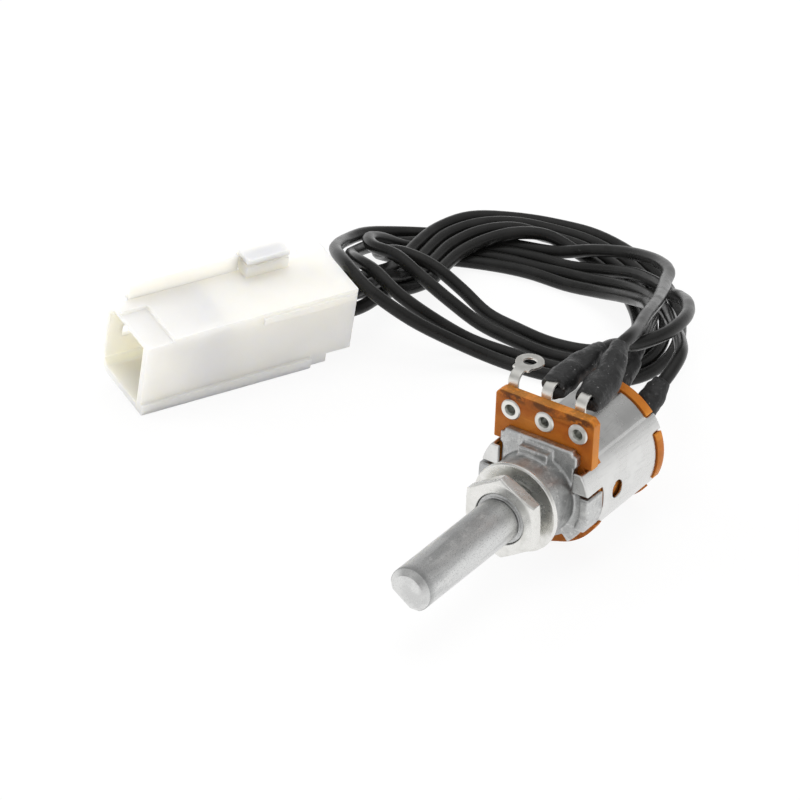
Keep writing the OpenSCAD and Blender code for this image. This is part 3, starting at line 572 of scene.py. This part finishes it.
def diecast_zinc():
    look = Look("diecast_zinc", (0.46, 0.465, 0.463), 0.4, 1.0)
    cloud = look.noise(0.42, 5, 0.68)
    patch = look.noise(1.6, 4, 0.65)
    grain = look.noise(7, 3, 0.65)
    look.peaks(cloud, 0.42, 0.62, 1, (0.62, 0.625, 0.62))
    look.peaks(patch, 0.52, 0.68, 0.7, (0.78, 0.78, 0.77))
    look.peaks(grain, 0.56, 0.68, 0.6, (0.2, 0.2, 0.2))
    # Painted highlight: lighter on the edges that stand out
    look.peaks(look.edges(), 0.53, 0.6, 0.7, (0.85, 0.85, 0.84))
    look.gloss(patch, 0.3, 0.46)
    look.relief(cloud, 0.1).relief(grain, 0.025).relief(bushing_thread(look), THREAD_RELIEF)
    return look


def nickel_plate():
    look = Look("nickel_plate", (0.82, 0.815, 0.79), 0.26, 1.0)
    smear = look.noise(0.6, 4, 0.6)
    spot = look.noise(2.4, 3, 0.6)
    grain = look.noise(9, 2, 0.5)
    look.peaks(smear, 0.45, 0.7, 0.5, (0.66, 0.655, 0.615))
    look.peaks(spot, 0.64, 0.74, 0.25, (0.36, 0.36, 0.33))
    look.gloss(smear, 0.22, 0.36)
    look.relief(smear, 0.05).relief(grain, 0.005)
    return look


def phenolic_board(name, colour):
    """Paper-filled phenolic: clouded, fibrous and specked."""
    look = Look(name, colour, 0.44)
    fibre = look.noise(1.2, 5, 0.65, look.scaled((1, 4, 1)))
    cloud = look.noise(0.3, 3, 0.5)
    speck = look.noise(6.5, 2, 0.5)
    look.peaks(cloud, 0.42, 0.62, 0.7, (0.46, 0.145, 0.014))
    look.dips(cloud, 0.3, 0.44, 0.6, (0.26, 0.062, 0.006))
    look.peaks(fibre, 0.5, 0.75, 0.4, (0.27, 0.07, 0.01))
    look.peaks(speck, 0.66, 0.74, 0.6, (0.12, 0.035, 0.01))
    look.gloss(fibre, 0.38, 0.52)
    look.relief(fibre, 0.02)
    look.set(Specular_IOR_Level=0.2, Subsurface_Weight=0.1,
             Subsurface_Radius=(0.8, 0.35, 0.1), Subsurface_Scale=0.001)
    return look


def darker_near_lugs(look):
    """Where the head of the wafer is darker brown, most of it beside the lugs."""
    top = look.span(look.axis("Z"), BROWN_LOW, BROWN_HIGH)
    aside = look.folded(look.axis("X"), LUG_PITCH)
    beside_lug = look.span(aside, BROWN_NEAR, BROWN_FAR, 0.95, 0)
    drop = look.span(look.noise(0.75, 5, 0.7, look.scaled((1, 1, 0.6))), 0.42, 0.6, 0, 0.7)
    torn = look.span(look.noise(1.9, 3, 0.6), 0.34, 0.52)
    darker = look.maths("MULTIPLY", top, look.maths("ADD", beside_lug, drop))
    return look.maths("MULTIPLY", darker, torn)


def phenolic():
    look = phenolic_board("phenolic", (0.37, 0.095, 0.007))
    # Darker brown at the top of the wafer, mostly beside the lugs
    look.tint(darker_near_lugs(look), (0.085, 0.022, 0.004))
    # Painted highlight: lighter on the edges that stand out
    look.peaks(look.edges(), 0.52, 0.58, 0.5, (0.68, 0.29, 0.045))
    return look


def phenolic_moulding():
    return phenolic_board("phenolic_moulding", (0.52, 0.19, 0.035))


def eyelet_solder(look):
    """How much of a place is under solder, which has run into the eyelets."""
    radius = look.radius(look.folded(look.axis("X"), LUG_PITCH),
                         look.maths("SUBTRACT", look.axis("Z"), EYELET_Z))
    return look.span(radius, SOLDER_FULL, SOLDER_END, 0.85, 0)


def tinned_metal():
    look = Look("tinned_metal", (0.80, 0.79, 0.75), 0.36, 1.0)
    cloud = look.noise(0.9, 3, 0.55)
    spot = look.noise(2.2, 3, 0.6)
    grain = look.noise(6, 2, 0.5)
    solder = eyelet_solder(look)
    look.peaks(cloud, 0.45, 0.7, 0.5, (0.88, 0.88, 0.86))
    look.peaks(spot, 0.66, 0.76, 0.25, (0.5, 0.5, 0.48))
    look.tint(solder, (0.36, 0.37, 0.33))
    look.gloss(look.maths("MAXIMUM", cloud, solder), 0.3, 0.46)
    look.relief(cloud, 0.012).relief(grain, 0.002)
    return look


def silver_track():
    look = Look("silver_track", (0.72, 0.71, 0.68), 0.3, 1.0)
    look.gloss(look.noise(2.5, 3), 0.25, 0.42)
    look.peaks(look.noise(3, 3), 0.5, 0.7, 0.4, (0.5, 0.49, 0.45))
    return look


def spring_bronze():
    look = Look("spring_bronze", (0.64, 0.40, 0.19), 0.3, 1.0)
    look.peaks(look.noise(1.5, 3), 0.45, 0.7, 0.5, (0.45, 0.27, 0.12))
    look.relief(look.noise(3, 2, 0.5, look.scaled((0.3, 4, 0.3))), 0.01)
    return look


def facet_fold(look):
    """How far a place is from the two long folds where the case's facets begin."""
    aside = look.maths("SUBTRACT", look.maths("ABSOLUTE", look.axis("X")), FOLD_X)
    return look.radius(aside, look.maths("SUBTRACT", look.axis("Z"), FOLD_Z))


def case_steel():
    look = Look("case_steel", (0.70, 0.70, 0.69), 0.28, 1.0)
    cloud = look.noise(0.28, 4, 0.55)
    drawn = look.noise(2.2, 3, 0.6, look.scaled((1, 0.12, 1)))
    nick = look.noise(1.7, 3, 0.6)
    scrape = look.noise(1.1, 4, 0.7, look.scaled((1, 0.2, 1)))
    look.peaks(cloud, 0.42, 0.64, 0.7, (0.8, 0.8, 0.79))
    look.peaks(drawn, 0.52, 0.72, 0.3, (0.5, 0.5, 0.49))
    look.peaks(scrape, 0.68, 0.76, 0.4, (0.32, 0.32, 0.31))
    look.peaks(nick, 0.72, 0.76, 0.5, (0.2, 0.2, 0.2))
    # Painted highlight: a bright line along the case's folds
    look.dips(facet_fold(look), FOLD_BRIGHT, FOLD_END, 0.85, (0.97, 0.97, 0.96))
    look.gloss(cloud, 0.22, 0.36)
    look.relief(cloud, 0.03).relief(drawn, 0.012)
    return look


def cam_plastic():
    look = Look("cam_plastic", (0.80, 0.76, 0.66), 0.4)
    look.peaks(look.noise(1.5, 3), 0.4, 0.7, 0.4, (0.7, 0.65, 0.54))
    look.relief(look.noise(6, 2), 0.006)
    return look


def shrink_sleeve():
    look = Look("shrink_sleeve", (0.016, 0.0162, 0.0165), 0.42)
    fold = look.noise(0.7, 4, 0.6)
    skin = look.noise(4.5, 3, 0.6)
    scuff = look.noise(1.7, 5, 0.75)
    scratch = look.noise(2.6, 3, 0.5)
    look.peaks(scuff, 0.55, 0.68, 0.3, (0.10, 0.10, 0.103))
    look.peaks(scratch, 0.68, 0.74, 0.7, (0.3, 0.3, 0.3))
    look.gloss(fold, 0.32, 0.52)
    look.relief(fold, 0.3).relief(skin, 0.03)
    look.set(Specular_IOR_Level=0.4)
    return look


def wire_insulation():
    look = Look("wire_insulation", (0.0115, 0.0115, 0.0112), 0.26)
    wave = look.noise(0.3, 3, 0.5)
    skin = look.noise(6, 2, 0.5)
    scuff = look.noise(0.8, 5, 0.75)
    look.peaks(wave, 0.45, 0.7, 0.5, (0.021, 0.021, 0.0205))
    look.peaks(scuff, 0.69, 0.73, 0.6, (0.22, 0.22, 0.215))
    look.gloss(wave, 0.22, 0.36)
    look.relief(wave, 0.06).relief(skin, 0.005)
    look.set(Specular_IOR_Level=0.23)
    return look


def off_middle(look, at, axis, size):
    """How far a place is from the middle on an axis, as a share of half that size."""
    return look.maths("DIVIDE", look.maths("ABSOLUTE", look.axis(axis, at)), size / 2)


def nylon():
    look = Look("nylon", (0.84, 0.825, 0.785), 0.36)
    in_plug = look.seen_from(PLUG_AT, (0, PLUG_ROLL, PLUG_TURN))
    outward = look.maths("MAXIMUM", off_middle(look, in_plug, "X", PLUG_WIDTH),
                         off_middle(look, in_plug, "Z", PLUG_HEIGHT))
    cloud = look.noise(0.16, 3, 0.5)
    look.peaks(cloud, 0.35, 0.7, 0.35, (0.79, 0.77, 0.71))
    # Painted glow: the inside of the connector is bright cream-yellow, as if lit through its walls
    look.dips(outward, INSIDE_END, SKIN_START, 1, (0.98, 0.93, 0.76))
    look.gloss(cloud, 0.28, 0.4)
    look.relief(look.noise(2.5, 3), 0.01)
    look.set(Subsurface_Weight=0.9, Subsurface_Radius=(1.0, 0.92, 0.7), Subsurface_Scale=0.005)
    return look


def contact_brass():
    look = Look("contact_brass", (0.72, 0.58, 0.33), 0.26, 1.0)
    look.peaks(look.noise(1.4, 3), 0.45, 0.7, 0.5, (0.74, 0.70, 0.6))
    look.relief(look.noise(3, 2), 0.01)
    return look


LOOKS = {
    "turned_steel": turned_steel, "diecast_zinc": diecast_zinc, "nickel_plate": nickel_plate,
    "phenolic": phenolic, "phenolic_moulding": phenolic_moulding, "tinned_metal": tinned_metal,
    "silver_track": silver_track, "spring_bronze": spring_bronze, "case_steel": case_steel,
    "cam_plastic": cam_plastic, "shrink_sleeve": shrink_sleeve,
    "wire_insulation": wire_insulation, "nylon": nylon, "contact_brass": contact_brass,
}


def dress(pieces):
    """Gives every CAD node the look of its slot in the record, and each new piece its own."""
    slots = {part["node"]: part["material_slot"] for part in frame["record"]["subparts"]}
    made = {slot: make().material for slot, make in LOOKS.items()}
    for name, node in frame["nodes"].items():
        node.data.materials.clear()
        node.data.materials.append(made[slots[name]])
    for piece in pieces:
        piece.data.materials.clear()
        piece.data.materials.append(made[piece["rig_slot"]])


def soft_box(name, at, size, power):
    """A lamp that isn't seen in reflections, which show the walls instead."""
    data = bpy.data.lights.new(name, "AREA")
    data.shape, data.size, data.energy = "SQUARE", size, power
    lamp = bpy.data.objects.new(name, data)
    bpy.context.scene.collection.objects.link(lamp)
    lamp.location = at
    lamp.visible_glossy = False
    lamp.rotation_mode = "QUATERNION"
    lamp.rotation_quaternion = (LOOK_AT - Vector(at)).to_track_quat("-Z", "Y")


def larger(tree, a, b):
    node = tree.nodes.new("ShaderNodeMath")
    node.operation = "MAXIMUM"
    tree.links.new(a, node.inputs[0])
    tree.links.new(b, node.inputs[1])
    return node.outputs[0]


def shown(tree):
    """1 for a ray that shows the background: straight, in a reflection or through a clear piece."""
    ray = tree.nodes.new("ShaderNodeLightPath").outputs
    return larger(tree, larger(tree, ray["Is Camera Ray"], ray["Is Glossy Ray"]),
                  ray["Is Transmission Ray"])


def mixed(tree, factor, first, second):
    """The first shader where the factor is 0, and the second where it is 1."""
    mix = tree.nodes.new("ShaderNodeMixShader")
    tree.links.new(factor, mix.inputs["Fac"])
    tree.links.new(first.outputs[0], mix.inputs[1])
    tree.links.new(second.outputs[0], mix.inputs[2])
    return mix.outputs[0]


def white_floor():
    """Paper that takes shadows, and glows white for each ray that shows it."""
    material = bpy.data.materials.new("white_floor")
    material.use_nodes = True
    tree = material.node_tree
    tree.nodes.clear()
    out = tree.nodes.new("ShaderNodeOutputMaterial")
    paper = tree.nodes.new("ShaderNodeBsdfDiffuse")
    paper.inputs["Color"].default_value = PAPER
    glow = tree.nodes.new("ShaderNodeEmission")
    glow.inputs["Color"].default_value = WHITE
    share = tree.nodes.new("ShaderNodeMath")
    share.operation = "MULTIPLY"
    share.inputs[1].default_value = FLOOR_GLOW
    tree.links.new(shown(tree), share.inputs[0])
    tree.links.new(mixed(tree, share.outputs[0], paper, glow), out.inputs["Surface"])
    return material


def make_floor():
    half = FLOOR_SIZE / 2
    data = bpy.data.meshes.new("floor")
    data.from_pydata([(-half, -half, 0), (half, -half, 0), (half, half, 0), (-half, half, 0)],
                     [], [(0, 1, 2, 3)])
    floor = bpy.data.objects.new("floor", data)
    bpy.context.scene.collection.objects.link(floor)
    data.materials.append(white_floor())


def wall_light(tree):
    """How bright the studio is in the direction of the ray."""
    direction_of_ray = tree.nodes.new("ShaderNodeTexCoord").outputs["Generated"]
    height = tree.nodes.new("ShaderNodeSeparateXYZ")
    tree.links.new(direction_of_ray, height.inputs[0])
    wall = tree.nodes.new("ShaderNodeFloatCurve")
    stops = wall.mapping.curves[0].points
    stops[0].location, stops[1].location = WALL[0], WALL[-1]
    for stop in WALL[1:-1]:
        stops.new(*stop)
    tree.links.new(height.outputs["Z"], wall.inputs["Value"])
    return wall.outputs[0]


def make_world():
    """Plain light from all sides, with walls in the reflections and white for the camera."""
    world = bpy.data.worlds.new("studio")
    bpy.context.scene.world = world
    world.use_nodes = True
    tree = world.node_tree
    tree.nodes.clear()
    out = tree.nodes.new("ShaderNodeOutputWorld")
    room = tree.nodes.new("ShaderNodeBackground")
    room.inputs["Color"].default_value = ROOM_COLOUR
    room.inputs["Strength"].default_value = ROOM_LIGHT
    white = tree.nodes.new("ShaderNodeBackground")
    white.inputs["Color"].default_value = WHITE
    ray = tree.nodes.new("ShaderNodeLightPath").outputs
    level = larger(tree, wall_light(tree), ray["Is Camera Ray"])
    tree.links.new(level, white.inputs["Strength"])
    tree.links.new(mixed(tree, shown(tree), room, white), out.inputs["Surface"])


def make_light():
    make_world()
    for name, (at, size, power) in LAMPS.items():
        soft_box(name, at, size, power)
    bpy.context.scene.view_settings.view_transform = "Standard"


make_camera()
routes = {"wire_1": ROUTE_1, "wire_2": ROUTE_2, "wire_3": ROUTE_3, "wire_4": ROUTE_4}
paths = {name: smooth_path(route, WIRE_STEPS) for name, route in routes.items()}
wires = {name: make_wire(name, path) for name, path in paths.items()}
sleeves = {name: make_sleeve(*values) for name, values in SLEEVES.items()}
for name, (voxel, rounds) in SKINS.items():
    soften(name, voxel, rounds)
for name, width in EDGES.items():
    round_edges(name, width)
dress([*wires.values(), *sleeves.values()])
make_floor()
make_light()

bpy.context.view_layer.update()
